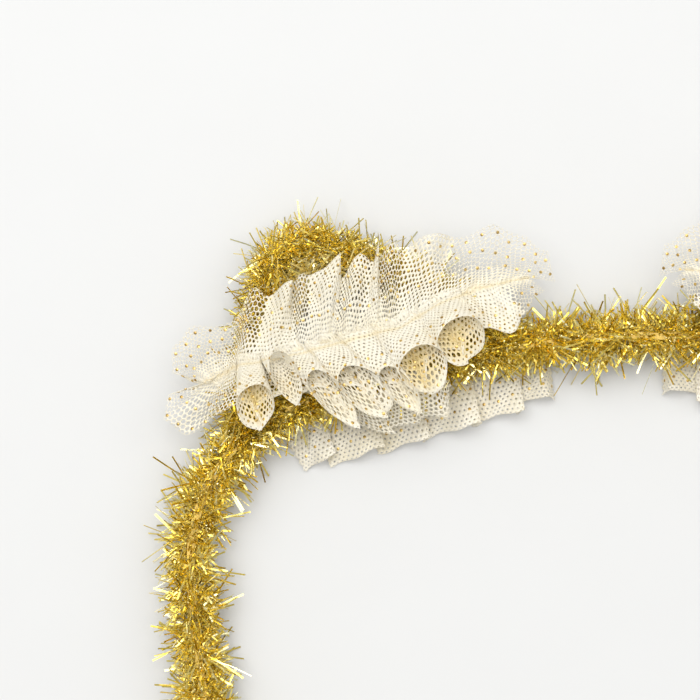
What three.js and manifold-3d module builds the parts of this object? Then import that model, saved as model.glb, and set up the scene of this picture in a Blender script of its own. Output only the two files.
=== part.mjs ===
// Cat ears headband: a springy band wound with tinsel, two ears of tinsel stem and gathered net ruffles.
// Millimetres. The headband lies flat: +Z points up from the surface and +Y runs towards the ear tips.
import * as THREE from 'three';
import Module from 'manifold-3d';

// Driving dimensions: the band's middle line runs through these arcs from the crown down each side.
const BAND_ARCS = [
  { part: 'crown', radius: 178, turnDeg: 18 },
  { part: 'corner', radius: 30, turnDeg: 72 },
  { part: 'arm', radius: 200, turnDeg: 27.5 },
];
const BAND_MID_Z = 5.2;
const STRIP_WIDTH = 4;
const STRIP_THICK = 1.4;
const STRIP_STEP = 6;
const STRIP_TIP_SHOWS = 3;
const STRIP_TIP_ROUND = 1;
const STRIP_TIP_SCALE = 0.55;

// Tinsel garland wound on the band, flat where it rests on the surface.
const GARLAND_RADIUS = 5.5;
const GARLAND_SIDES = 10;
const GARLAND_STEP = 2.8;
const GARLAND_PITCH = 8.8;
const GARLAND_LOBE = 0.05;
const GARLAND_TAPER = 5;
const GARLAND_TIP_SCALE = 0.55;
const GARLAND_FLAT_BELOW = -0.9;
const GARLAND_TUFT = 3.3;
const GARLAND_TUFT_SHARE = 0.47;

// Tinsel stem bent into each ear, in the ear's own frame.
const STEM_RADIUS = 3.9;
const STEM_MID_Z = 6.8;
const STEM_SIDES = 8;
const STEM_STEPS = 34;
const STEM_UNEVEN = 0.05;
const STEM_TUFT = 2.2;
const STEM_TUFT_SHARE = 0.5;

// Tufts: the shortest one's share of the longest, how far they lean up or down, and how low they reach.
const TUFT_SHORTEST = 0.6;
const TUFT_LIFT = 0.6;
const TUFT_FLOOR = 0.5;
const TUFTS_ABOVE = -0.5;

// The ear's frame: along runs from its outer foot to its inner foot, out runs towards its tip.
const EAR_FOOT = { x: -65.8, y: -10.5 };
const EAR_TILT_DEG = 14;
const EAR_BENDS = [
  { startAlong: -1.3, startOut: -4.3, pullAlong: 7, pullOut: 13.4, endAlong: 13, endOut: 23 },
  { startAlong: 13, startOut: 23, pullAlong: 16.3, pullOut: 29, endAlong: 21.4, endOut: 25 },
  { startAlong: 21.4, startOut: 25, pullAlong: 35.5, pullOut: 17.4, endAlong: 49.8, endOut: -2.2 },
];

// Net ruffle: one strip gathered along its middle, so that it has an upper and a lower flounce.
const NET_THICK = 1;
const CLEARANCE = 0.3;
const GATHER = {
  startAlong: 0.5,
  endAlong: 53.7,
  midAlong: 24,
  halfSpan: 27,
  out: 6.3,
  endRise: 3.2,
  z: 11.5,
};
const COLUMNS_PER_FOLD = 8;
const FLOUNCE_ROWS = 3;

// Crests and valleys of the free edges, each as along, out and z.
const UPPER_START = [-9, 10.8, 9.6];
const UPPER_FOLDS = [
  { crest: [-5.5, 17.5, 11.5], valley: [-1.3, 13.2, 11.3], curl: 0.15 },
  { crest: [5, 17.7, 14], valley: [9.7, 18.3, 11.7], curl: 0.2 },
  { crest: [15.1, 18.9, 14.5], valley: [17.5, 17.2, 11.7], curl: 0.2 },
  { crest: [22.4, 21.5, 15], valley: [26, 18.4, 11.7], curl: 0.25 },
  { crest: [29.5, 21, 14.8], valley: [31.8, 18.9, 11.7], curl: 0.2 },
  { crest: [34.6, 20.7, 14.8], valley: [37, 18.6, 11.7], curl: 0.2 },
  { crest: [39.8, 19.7, 14.8], valley: [42.5, 17.8, 11.7], curl: 0.2 },
  { crest: [45.8, 18.9, 14.5], valley: [49.4, 16.6, 11.6], curl: 0.2 },
  { crest: [53.8, 17.3, 13.8], valley: [57, 13.7, 11.2], curl: 0.15 },
  { crest: [59.2, 10.5, 12.6], valley: [59.4, 7.2, 11.2], curl: 0 },
];
const LOWER_START = [-11.4, 6.7, 9.4];
const LOWER_FOLDS = [
  { crest: [-10.8, 1.4, 9.8], valley: [-1.5, -1.8, 11.8], curl: 0 },
  { crest: [4.4, 4.7, 17.8], valley: [8.8, -3.8, 11.8], curl: 0.32 },
  { crest: [12.8, 4.8, 17.2], valley: [14.8, -4.6, 11.9], curl: 0.2 },
  { crest: [17.8, 2.3, 16.8], valley: [19.6, -7.6, 11.9], curl: 0.15 },
  { crest: [22.3, 0.6, 16.6], valley: [24.4, -9.8, 11.8], curl: 0.15 },
  { crest: [27.4, 1.2, 16.6], valley: [30, -8.8, 11.8], curl: 0.2 },
  { crest: [34.4, 2.2, 17.8], valley: [38.4, -5.4, 11.8], curl: 0.3 },
  { crest: [42.6, 5, 18.2], valley: [46.8, -2.6, 11.8], curl: 0.3 },
  { crest: [50.4, 5.6, 16.8], valley: [54.4, -0.4, 11.8], curl: 0.25 },
  { crest: [57, 4.6, 14.6], valley: [59.4, 3, 11.6], curl: 0 },
];

// Back ruffle: a flounce that comes out from under the band, measured inwards from the band's middle line.
const BACK_COLUMNS_PER_FOLD = 6;
const BACK_ROOT = { reach: 5.3, z: 1 };
const BACK_START = 62;
const BACK_VALLEY = { longer: 1.2, z: 0.8 };
const BACK_FOLDS = [
  { crestAt: 58.6, valleyAt: 55.2, reach: 10, crestZ: 3.4 },
  { crestAt: 52, valleyAt: 48.8, reach: 11, crestZ: 3.8 },
  { crestAt: 45.4, valleyAt: 42, reach: 12, crestZ: 3.6 },
  { crestAt: 38.8, valleyAt: 35.6, reach: 12.2, crestZ: 4 },
  { crestAt: 32.2, valleyAt: 28.8, reach: 11.8, crestZ: 3.6 },
  { crestAt: 25.6, valleyAt: 22.6, reach: 11.2, crestZ: 3.9 },
  { crestAt: 19.6, valleyAt: 16.4, reach: 10.6, crestZ: 3.6 },
  { crestAt: 13.2, valleyAt: 10, reach: 9.6, crestZ: 3.4 },
];

// Stretches of the band, by distance from the crown, where a neighbour presses the tufts flat.
const UNDER_RUFFLE = { from: 7, to: 73 };
const AT_OUTER_FOOT = { from: 57, to: 85 };
const AT_INNER_FOOT = { from: 9, to: 27 };
const RUFFLE_TOP_OUT = 25;
const RUFFLE_SIDE_OUT = 19;
const FOOT_OUT = 7;
const BAND_PRESSED_ABOVE = 0.5;
const STEM_PRESSED_ABOVE = { side: -0.5, top: 0.3 };

// Each use of chance has a number of its own, so that its values don't repeat another's.
const CHANCE = {
  garlandTuft: 1,
  garlandReach: 2,
  garlandLean: 3,
  garlandLift: 4,
  stemRadius: 5,
  stemTuft: 6,
  stemReach: 7,
  stemLean: 8,
};
const CHANCE_STEPS = { first: 12.9898, second: 78.233, purpose: 37.719, spread: 43758.5453 };

const GOLD = { color: 0xc8a02a, roughness: 0.3, metalness: 0.9 };
const NET = { color: 0xf1eee2, roughness: 0.9, metalness: 0 };
const LACQUER = { color: 0xb08a2c, roughness: 0.4, metalness: 0.6 };

const toRadians = THREE.MathUtils.degToRad;
const lerp = THREE.MathUtils.lerp;
const wasm = await Module();
wasm.setup();

// Band path

const BAND_HALF = BAND_ARCS.reduce((sum, arc) => sum + arc.radius * toRadians(arc.turnDeg), 0);
const GARLAND_HALF = BAND_HALF - STRIP_TIP_SHOWS;

/** Place and outward direction at a distance from the crown, negative on the left. */
function bandAt(distance) {
  const side = distance < 0 ? -1 : 1;
  let left = Math.abs(distance);
  let turn = 0;
  let x = 0;
  let y = 0;
  for (const arc of BAND_ARCS) {
    const swept = Math.min(left / arc.radius, toRadians(arc.turnDeg));
    x += arc.radius * (Math.sin(turn + swept) - Math.sin(turn));
    y += arc.radius * (Math.cos(turn + swept) - Math.cos(turn));
    turn += swept;
    left -= swept * arc.radius;
  }
  return {
    point: new THREE.Vector3(side * x, y, BAND_MID_Z),
    out: new THREE.Vector3(side * Math.sin(turn), Math.cos(turn), 0),
  };
}

// Evenly spaced distances along the band, the same on both sides of the crown.
function bandStations(half, step) {
  const count = 2 * Math.ceil(half / step);
  return Array.from({ length: count + 1 }, (_, i) => half * ((2 * i) / count - 1));
}

// Mesh helpers

function meshOf(points, triangles) {
  const geometry = new THREE.BufferGeometry().setFromPoints(points);
  geometry.setIndex(triangles);
  return geometry;
}

/** A closed tube through rings of points. A tuft raises a facet to a peak where the function gives one. */
function tube(rings, tuftPeak = () => null) {
  const sides = rings[0].length;
  const points = rings.flat();
  const triangles = [];
  for (let i = 0; i + 1 < rings.length; i += 1) {
    for (let j = 0; j < sides; j += 1) {
      const a = i * sides + j;
      const b = i * sides + ((j + 1) % sides);
      const c = a + sides;
      const d = b + sides;
      const peak = tuftPeak(i, j, [a, b, c, d].map((k) => points[k]));
      if (peak) {
        const p = points.push(peak) - 1;
        triangles.push(a, b, p, b, d, p, d, c, p, c, a, p);
      } else {
        triangles.push(a, b, d, a, d, c);
      }
    }
  }
  const last = (rings.length - 1) * sides;
  for (let j = 1; j + 1 < sides; j += 1) {
    triangles.push(0, j + 1, j, last, last + j, last + j + 1);
  }
  return meshOf(points, triangles);
}

/** A wall of even thickness on both sides of a grid of points, grid[column][row], seen from above. */
function wall(grid, thickness) {
  const rows = grid[0].length;
  const points = grid.flat();
  const count = points.length;
  const faces = [];
  for (let i = 0; i + 1 < grid.length; i += 1) {
    for (let j = 0; j + 1 < rows; j += 1) {
      const a = i * rows + j;
      faces.push([a, a + 1, a + rows], [a + 1, a + rows + 1, a + rows]);
    }
  }
  const normals = points.map(() => new THREE.Vector3());
  const outline = new Map();
  for (const face of faces) {
    const [p, q, r] = face.map((k) => points[k]);
    const normal = q.clone().sub(p).cross(r.clone().sub(p)).normalize();
    face.forEach((from, k) => {
      const to = face[(k + 1) % face.length];
      normals[from].add(normal);
      if (!outline.delete(`${to} ${from}`)) outline.set(`${from} ${to}`, [from, to]);
    });
  }
  normals.forEach((normal) => normal.setLength(thickness / 2));
  const upper = points.map((point, k) => point.clone().add(normals[k]));
  const lower = points.map((point, k) => point.clone().sub(normals[k]));
  const triangles = faces.flatMap(([a, b, c]) => [a, b, c, c + count, b + count, a + count]);
  for (const [from, to] of outline.values()) {
    triangles.push(to, from, from + count, to, from + count, to + count);
  }
  return meshOf([...upper, ...lower], triangles);
}

function mirrored(geometry) {
  const copy = geometry.clone().scale(-1, 1, 1);
  copy.setIndex(Array.from(geometry.index.array).reverse());
  return copy;
}

function toSolid(geometry) {
  const vertProperties = Float32Array.from(geometry.attributes.position.array);
  const triVerts = Uint32Array.from(geometry.index.array);
  return new wasm.Manifold(new wasm.Mesh({ numProp: 3, vertProperties, triVerts }));
}

function toGeometry(solid) {
  const { vertProperties, triVerts } = solid.getMesh();
  const geometry = new THREE.BufferGeometry();
  geometry.setAttribute('position', new THREE.BufferAttribute(vertProperties, 3));
  geometry.setIndex(new THREE.BufferAttribute(triVerts, 1));
  return geometry;
}

/** A repeatable number from 0 to 1 for each pair of whole numbers and each purpose. */
function scatter(a, b, purpose) {
  const place = a * CHANCE_STEPS.first + b * CHANCE_STEPS.second + purpose * CHANCE_STEPS.purpose;
  const value = Math.sin(place) * CHANCE_STEPS.spread;
  return value - Math.floor(value);
}

const inside = (value, span) => value > span.from && value < span.to;
const smooth = (share) => 0.5 - 0.5 * Math.cos(Math.PI * share);

// Peak of a tuft on a facet: it leans away from the facet's middle by chance, and stays above the surface.
function tuftOn(corners, outward, reach, leanAlong, leanUp) {
  const peak = new THREE.Vector3();
  corners.forEach((corner) => peak.add(corner));
  peak.divideScalar(corners.length);
  const along = corners[2].clone().sub(corners[0]).normalize();
  peak.addScaledVector(outward, reach).addScaledVector(along, leanAlong * reach);
  peak.z = Math.max(peak.z + leanUp * reach, TUFT_FLOOR);
  return peak;
}

// Band and its garland

function ringAt(distance, offsets) {
  const { point, out } = bandAt(distance);
  return offsets.map(([outward, up]) => point.clone().addScaledVector(out, outward).setZ(BAND_MID_Z + up));
}

function stripRings(extra, tipScale) {
  const outward = STRIP_THICK / 2 + extra;
  const up = STRIP_WIDTH / 2 + extra;
  const section = (scale) => [
    [outward, -up * scale],
    [outward, up * scale],
    [-outward, up * scale],
    [-outward, -up * scale],
  ];
  const inner = bandStations(BAND_HALF - STRIP_TIP_ROUND, STRIP_STEP).map((at) => ringAt(at, section(1)));
  return [ringAt(-BAND_HALF, section(tipScale)), ...inner, ringAt(BAND_HALF, section(tipScale))];
}

function garlandRing(distance, grow, lobe) {
  const toEnd = GARLAND_HALF - Math.abs(distance);
  const taper = lerp(GARLAND_TIP_SCALE, 1, smooth(Math.min(toEnd / GARLAND_TAPER, 1)));
  const phase = (2 * Math.PI * Math.abs(distance)) / GARLAND_PITCH;
  const offsets = Array.from({ length: GARLAND_SIDES }, (_, j) => {
    const angle = (2 * Math.PI * j) / GARLAND_SIDES;
    const radius = GARLAND_RADIUS * taper * (1 + lobe * Math.cos(angle - phase)) + grow;
    const flat = grow === 0 && taper === 1 && Math.sin(angle) < GARLAND_FLAT_BELOW;
    const up = flat ? -BAND_MID_Z : Math.max(radius * Math.sin(angle), -BAND_MID_Z);
    return [radius * Math.cos(angle), up];
  });
  return ringAt(distance, offsets);
}

function bandStrip() {
  return tube(stripRings(0, STRIP_TIP_SCALE));
}

// Tufts stand on the upper facets and the sides, and lie flat wherever an ear or a ruffle presses on them.
function bandGarland() {
  const stations = bandStations(GARLAND_HALF, GARLAND_STEP);
  const rings = stations.map((at) => garlandRing(at, 0, GARLAND_LOBE));
  const tuftPeak = (i, j, corners) => {
    const mirror = Math.min(i, stations.length - 2 - i);
    const at = (stations[i] + stations[i + 1]) / 2;
    const reachedFrom = Math.abs(at);
    const angle = (2 * Math.PI * (j + 0.5)) / GARLAND_SIDES;
    const up = Math.sin(angle);
    const outer = Math.cos(angle) > 0;
    const pressed = inside(reachedFrom, UNDER_RUFFLE) && (up > BAND_PRESSED_ABOVE || !outer);
    const atFoot = outer && (inside(reachedFrom, AT_OUTER_FOOT) || inside(reachedFrom, AT_INNER_FOOT));
    const bare = scatter(mirror, j, CHANCE.garlandTuft) > GARLAND_TUFT_SHARE;
    if (up < TUFTS_ABOVE || pressed || atFoot || bare) return null;
    const { point, out } = bandAt(at);
    const outward = out.multiplyScalar(Math.cos(angle)).setZ(up);
    const reach = GARLAND_TUFT * lerp(TUFT_SHORTEST, 1, scatter(mirror, j, CHANCE.garlandReach));
    const side = point.x < 0 ? -1 : 1;
    const leanAlong = side * (scatter(mirror, j, CHANCE.garlandLean) - 0.5);
    const leanUp = TUFT_LIFT * (scatter(mirror, j, CHANCE.garlandLift) - 0.5);
    return tuftOn(corners, outward, reach, leanAlong, leanUp);
  };
  const body = toSolid(tube(rings, tuftPeak));
  const channel = toSolid(tube(stripRings(CLEARANCE, 1)));
  return toGeometry(body.subtract(channel));
}

// Ears

/** A point of the left ear's frame in the headband's frame. */
function earPoint(along, out, z) {
  const tilt = toRadians(EAR_TILT_DEG);
  const x = EAR_FOOT.x + along * Math.cos(tilt) - out * Math.sin(tilt);
  const y = EAR_FOOT.y + along * Math.sin(tilt) + out * Math.cos(tilt);
  return new THREE.Vector3(x, y, z);
}

function earPath() {
  const path = new THREE.CurvePath();
  for (const bend of EAR_BENDS) {
    const start = earPoint(bend.startAlong, bend.startOut, STEM_MID_Z);
    const pull = earPoint(bend.pullAlong, bend.pullOut, STEM_MID_Z);
    const end = earPoint(bend.endAlong, bend.endOut, STEM_MID_Z);
    path.add(new THREE.QuadraticBezierCurve3(start, pull, end));
  }
  return path;
}

// How far a point lies out from the ear's base line.
function outOfEar(point) {
  const tilt = toRadians(EAR_TILT_DEG);
  return (point.y - EAR_FOOT.y) * Math.cos(tilt) - (point.x - EAR_FOOT.x) * Math.sin(tilt);
}

function ear() {
  const path = earPath();
  const up = new THREE.Vector3(0, 0, 1);
  const angleOf = (j) => (2 * Math.PI * (j + 0.5)) / STEM_SIDES;
  const frameAt = (share) => ({
    point: path.getPointAt(share),
    out: up.clone().cross(path.getTangentAt(share)),
  });
  const rings = Array.from({ length: STEM_STEPS + 1 }, (_, i) => {
    const { point, out } = frameAt(i / STEM_STEPS);
    return Array.from({ length: STEM_SIDES }, (_unused, j) => {
      const angle = angleOf(j);
      const reach = STEM_RADIUS * (1 + STEM_UNEVEN * (scatter(i, j, CHANCE.stemRadius) - 0.5));
      const radial = out.clone().multiplyScalar(Math.cos(angle)).addScaledVector(up, Math.sin(angle));
      return point.clone().addScaledVector(radial, reach);
    });
  });
  const tuftPeak = (i, j, corners) => {
    const { point, out } = frameAt((i + 0.5) / STEM_STEPS);
    const angle = angleOf(j + 0.5);
    const outOf = outOfEar(point);
    const pressedAbove = outOf < RUFFLE_SIDE_OUT ? STEM_PRESSED_ABOVE.side : STEM_PRESSED_ABOVE.top;
    const pressed = outOf < RUFFLE_TOP_OUT && Math.sin(angle) > pressedAbove;
    const bare = scatter(i, j, CHANCE.stemTuft) > STEM_TUFT_SHARE;
    if (outOf < FOOT_OUT || pressed || bare) return null;
    const outward = out.multiplyScalar(Math.cos(angle)).setZ(Math.sin(angle));
    const reach = STEM_TUFT * lerp(TUFT_SHORTEST, 1, scatter(i, j, CHANCE.stemReach));
    return tuftOn(corners, outward, reach, scatter(i, j, CHANCE.stemLean) - 0.5, 0);
  };
  const stations = bandStations(GARLAND_HALF, GARLAND_STEP);
  const room = stations.map((at) => garlandRing(at, CLEARANCE, GARLAND_LOBE));
  return toGeometry(toSolid(tube(rings, tuftPeak)).subtract(toSolid(tube(room))));
}

// Ruffles

/** A free edge's point at a share of the strip's length. A fold rises from a valley to a crest and back. */
function edgeAt(share, start, folds) {
  const place = share * folds.length;
  const k = Math.min(Math.floor(place), folds.length - 1);
  const part = place - k;
  const rising = part < 0.5;
  const climb = rising ? 2 * part : 2 * (1 - part);
  const { crest, valley, curl } = folds[k];
  const before = k > 0 ? folds[k - 1].valley : start;
  const foot = rising ? before : valley;
  const [along, out, z] = crest;
  return {
    along: lerp(foot[0], along, climb + curl * Math.sin(2 * Math.PI * climb)),
    out: lerp(foot[1], out, smooth(climb)),
    z: lerp(foot[2], z, smooth(climb)),
  };
}

function gatherAt(share) {
  const along = lerp(GATHER.startAlong, GATHER.endAlong, share);
  const fromMiddle = (along - GATHER.midAlong) / GATHER.halfSpan;
  return { along, out: GATHER.out + GATHER.endRise * fromMiddle * fromMiddle, z: GATHER.z };
}

function between(from, to, share) {
  const along = lerp(from.along, to.along, share);
  const out = lerp(from.out, to.out, share);
  return earPoint(along, out, lerp(from.z, to.z, share));
}

function frontRuffle() {
  const columns = UPPER_FOLDS.length * COLUMNS_PER_FOLD;
  const grid = Array.from({ length: columns + 1 }, (_, i) => {
    const share = i / columns;
    const gather = gatherAt(share);
    const upper = edgeAt(share, UPPER_START, UPPER_FOLDS);
    const lower = edgeAt(share, LOWER_START, LOWER_FOLDS);
    const column = [];
    for (let row = FLOUNCE_ROWS; row > 0; row -= 1) {
      column.push(between(gather, upper, row / FLOUNCE_ROWS));
    }
    for (let row = 0; row <= FLOUNCE_ROWS; row += 1) {
      column.push(between(gather, lower, row / FLOUNCE_ROWS));
    }
    return column;
  });
  return wall(grid, NET_THICK);
}

function backRuffle() {
  const columns = BACK_FOLDS.length * BACK_COLUMNS_PER_FOLD;
  const grid = Array.from({ length: columns + 1 }, (_, i) => {
    const k = Math.min(Math.floor(i / BACK_COLUMNS_PER_FOLD), BACK_FOLDS.length - 1);
    const part = i / BACK_COLUMNS_PER_FOLD - k;
    const rising = part < 0.5;
    const climb = rising ? 2 * part : 2 * (1 - part);
    const fold = BACK_FOLDS[k];
    const valleyBefore = k > 0 ? BACK_FOLDS[k - 1].valleyAt : BACK_START;
    const at = lerp(rising ? valleyBefore : fold.valleyAt, fold.crestAt, climb);
    const reach = fold.reach + BACK_VALLEY.longer * (1 - smooth(climb));
    const z = lerp(BACK_VALLEY.z, fold.crestZ, smooth(climb));
    const { point, out } = bandAt(-at);
    return Array.from({ length: FLOUNCE_ROWS + 1 }, (_unused, row) => {
      const share = row / FLOUNCE_ROWS;
      const inward = lerp(BACK_ROOT.reach, reach, share);
      return point.clone().addScaledVector(out, -inward).setZ(lerp(BACK_ROOT.z, z, share));
    });
  });
  return wall(grid, NET_THICK);
}

// Assembly

function piece(name, geometry, finish) {
  const mesh = new THREE.Mesh(geometry, new THREE.MeshStandardMaterial({ ...finish, flatShading: true }));
  mesh.name = name;
  return mesh;
}

function pair(name, geometry, finish) {
  return [piece(`left_${name}`, geometry, finish), piece(`right_${name}`, mirrored(geometry), finish)];
}

const headband = new THREE.Group();
headband.name = 'cat_ears_headband';
headband.add(
  piece('band_strip', bandStrip(), LACQUER),
  piece('band_tinsel', bandGarland(), GOLD),
  ...pair('ear_tinsel', ear(), GOLD),
  ...pair('ruffle_front', frontRuffle(), NET),
  ...pair('ruffle_back', backRuffle(), NET),
);

// The origin is the middle of the outer box, on the surface that the headband lies on.
const box = new THREE.Box3().setFromObject(headband);
const middle = box.getCenter(new THREE.Vector3());
headband.position.set(-middle.x, -middle.y, -box.min.z);

export default headband;
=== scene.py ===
"""Looks of the cat ears headband: gold tinsel on a band and two ears, and gathered ruffles of dotted net.

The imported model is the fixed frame. Sizes here are in millimetres and turn into metres as a mesh is made.
"""

from __future__ import annotations

import logging
import math
from dataclasses import dataclass
from enum import Enum, IntEnum
from typing import Any

import bpy
import numpy as np
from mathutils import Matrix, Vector

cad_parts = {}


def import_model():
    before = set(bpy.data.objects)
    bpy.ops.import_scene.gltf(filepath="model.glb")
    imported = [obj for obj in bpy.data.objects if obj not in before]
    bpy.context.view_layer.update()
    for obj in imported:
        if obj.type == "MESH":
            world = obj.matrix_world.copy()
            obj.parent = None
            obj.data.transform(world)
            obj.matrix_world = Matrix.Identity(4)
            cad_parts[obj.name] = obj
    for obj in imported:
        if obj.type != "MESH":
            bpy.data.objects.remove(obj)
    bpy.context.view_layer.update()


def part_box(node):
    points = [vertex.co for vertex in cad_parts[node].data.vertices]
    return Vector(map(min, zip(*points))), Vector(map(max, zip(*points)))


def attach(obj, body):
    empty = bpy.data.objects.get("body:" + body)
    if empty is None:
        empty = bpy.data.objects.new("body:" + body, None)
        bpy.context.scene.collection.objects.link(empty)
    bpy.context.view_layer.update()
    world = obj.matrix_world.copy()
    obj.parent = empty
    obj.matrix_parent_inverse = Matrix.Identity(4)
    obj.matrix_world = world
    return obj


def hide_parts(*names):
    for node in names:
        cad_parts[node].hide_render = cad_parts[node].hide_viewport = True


MM = 0.001
FULL_TURN = 2 * math.pi
UPWARD = (0.0, 0.0, 1.0)
BODY = "root"

Colour = tuple[float, float, float, float]
Triple = tuple[float, float, float]
Pair = tuple[float, float]

log = logging.getLogger("headband")


class Side(Enum):
    """The two halves of the headband, by the sign of x."""

    LEFT = -1
    RIGHT = 1

    @property
    def label(self) -> str:
        """The side's word in piece and node names."""
        return self.name.lower()


class Draw(IntEnum):
    """What each strand draws at random, by the number that is added to its stretch's seed."""

    ANGLE = 1
    LEAN = 2
    SWIRL = 3
    LENGTH = 4
    DEPTH = 5
    SWAY = 7
    TONE = 8
    RISE = 9


class Graph:
    """Short calls that add nodes to one tree and join their sockets."""

    def __init__(self, tree: bpy.types.NodeTree) -> None:
        """Work on this tree."""
        self.tree = tree

    def add(self, kind: str, *values: Any, **settings: Any) -> bpy.types.Node:
        """Add a node.

        Args:
            kind: The node's type name.
            values: A value or an output socket for each input in order; None leaves an input alone.
            settings: Properties of the node, set before its inputs.

        Returns:
            The new node.
        """
        node = self.tree.nodes.new(kind)
        for name, value in settings.items():
            setattr(node, name, value)
        for socket, value in zip(node.inputs, values):
            self.feed(socket, value)
        return node

    def feed(self, socket: bpy.types.NodeSocket, value: Any) -> None:
        """Join an output to a socket, or set the socket to a plain value.

        Args:
            socket: The input socket.
            value: The output or the value; None leaves the socket alone.
        """
        if isinstance(value, bpy.types.NodeSocket):
            self.tree.links.new(value, socket)
        elif value is not None:
            socket.default_value = value

    def fill(self, node: bpy.types.Node, values: dict[str, Any]) -> None:
        """Feed a node's inputs by their names."""
        for label, value in values.items():
            self.feed(node.inputs[label], value)

    def math(self, operation: str, *values: Any) -> bpy.types.NodeSocket:
        """The result of a Math node."""
        return self.add("ShaderNodeMath", *values, operation=operation).outputs[0]

    def vector(self, operation: str, *values: Any) -> bpy.types.NodeSocket:
        """The vector result of a Vector Math node."""
        return self.add("ShaderNodeVectorMath", *values, operation=operation).outputs["Vector"]

    def times(self, vector: Any, factor: Any) -> bpy.types.NodeSocket:
        """A vector scaled by a number."""
        return self.vector("SCALE", vector, None, None, factor)

    def noise(self, scale: Any, detail: float) -> bpy.types.NodeSocket:
        """Noise on a piece's own coordinates."""
        place = self.add("ShaderNodeTexCoord").outputs["Object"]
        return self.add("ShaderNodeTexNoise", place, None, scale, detail).outputs[0]

    def ramp(self, factor: Any, *stops: tuple[float, Colour]) -> bpy.types.NodeSocket:
        """A colour that runs through stops.

        Args:
            factor: What the colour follows.
            stops: A position and a colour each, in order.

        Returns:
            The colour.
        """
        node = self.add("ShaderNodeValToRGB", factor)
        elements = node.color_ramp.elements
        for element, (position, colour) in zip(elements, (stops[0], stops[-1])):
            element.position = position
            element.color = colour
        for position, colour in stops[1:-1]:
            elements.new(position).color = colour
        return node.outputs["Color"]

    def mix(self, factor: Any, first: Any, second: Any) -> bpy.types.NodeSocket:
        """A blend of two colours.

        Args:
            factor: The second colour's share.
            first: The first colour.
            second: The second colour.

        Returns:
            The blend.
        """
        # The places of the colours among a Mix node's sockets.
        first_in, second_in, blend_out = 6, 7, 2
        node = self.add("ShaderNodeMix", factor, data_type="RGBA")
        self.feed(node.inputs[first_in], first)
        self.feed(node.inputs[second_in], second)
        return node.outputs[blend_out]

    def foil(self, scale: float, low: float, high: float) -> bpy.types.Node:
        """The uneven gloss of metal foil, between two roughnesses."""
        return self.add("ShaderNodeGroup", scale, low, high, node_tree=foil_group())

    def random(self, low: Any, high: Any, seed: Any) -> bpy.types.NodeSocket:
        """A random number for each element.

        Args:
            low: The lower bound.
            high: The upper bound.
            seed: The seed.

        Returns:
            The number.
        """
        node = self.add("FunctionNodeRandomValue", None, None, low, high, data_type="FLOAT")
        self.feed(node.inputs["Seed"], seed)
        return node.outputs[1]

    def random_vector(self, reach: float, seed: Any) -> bpy.types.NodeSocket:
        """A random vector for each element.

        Args:
            reach: Its parts lie between minus and plus this.
            seed: The seed.

        Returns:
            The vector.
        """
        node = self.add("FunctionNodeRandomValue", (-reach,) * 3, (reach,) * 3, data_type="FLOAT_VECTOR")
        self.feed(node.inputs["Seed"], seed)
        return node.outputs[0]

    def store(self, geometry: Any, name: str, value: Any, kind: str) -> bpy.types.NodeSocket:
        """Keep a field's value on the points of a geometry.

        Args:
            geometry: The geometry.
            name: The attribute's name.
            value: The field.
            kind: The attribute's data type.

        Returns:
            The geometry with the attribute.
        """
        node = self.add("GeometryNodeStoreNamedAttribute", geometry, data_type=kind, domain="POINT")
        self.fill(node, {"Name": name, "Value": value})
        return node.outputs[0]

    def stored(self, name: str, kind: str) -> bpy.types.NodeSocket:
        """A field that reads a named attribute."""
        return self.add("GeometryNodeInputNamedAttribute", name, data_type=kind).outputs["Attribute"]

    def move(self, geometry: Any, position: Any = None, offset: Any = None) -> bpy.types.NodeSocket:
        """Geometry whose points go to a position, by an offset, or both."""
        return self.add("GeometryNodeSetPosition", geometry, None, position, offset).outputs[0]

    def copies(self, points: Any, shape: Any, axis: str, scale: Any) -> bpy.types.NodeSocket:
        """Realized copies of a shape.

        Args:
            points: Where the copies go.
            shape: The shape, which stands along Z.
            axis: The stored vector that each copy stands along.
            scale: Each copy's scale.

        Returns:
            The copies as plain geometry.
        """
        facing = self.stored(axis, "FLOAT_VECTOR")
        turn = self.add("FunctionNodeAlignRotationToVector", None, 1.0, facing, axis="Z")
        node = self.add("GeometryNodeInstanceOnPoints", points)
        self.fill(node, {"Instance": shape, "Rotation": turn.outputs[0], "Scale": scale})
        return self.add("GeometryNodeRealizeInstances", node.outputs[0]).outputs[0]

    def join(self, *parts: Any) -> bpy.types.NodeSocket:
        """Join geometries.

        Args:
            parts: The geometries.

        Returns:
            All of them in one.
        """
        node = self.add("GeometryNodeJoinGeometry")
        for part in parts:
            self.feed(node.inputs[0], part)
        return node.outputs[0]

    def paint(self, geometry: Any, finish: Any) -> bpy.types.NodeSocket:
        """Geometry with a finish all over."""
        return self.add("GeometryNodeSetMaterial", geometry, None, finish).outputs[0]


def label_of(name: str) -> str:
    """A field's name as the label of a tree's input."""
    return name.replace("_", " ").title()


def number_inputs(names: tuple[str, ...]) -> dict[str, str]:
    """The socket type of each field that a tree takes as a number."""
    return {label_of(name): "NodeSocketFloat" for name in names}


def number_values(sizes: Any, lengths: tuple[str, ...], shares: tuple[str, ...]) -> dict[str, float]:
    """The values of a tree's number inputs.

    Args:
        sizes: The object whose fields hold them.
        lengths: Names of fields in millimetres.
        shares: Names of fields that are plain numbers.

    Returns:
        The values by label, with lengths in metres.
    """
    values = {label_of(name): getattr(sizes, name) * MM for name in lengths}
    return values | {label_of(name): getattr(sizes, name) for name in shares}


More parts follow.
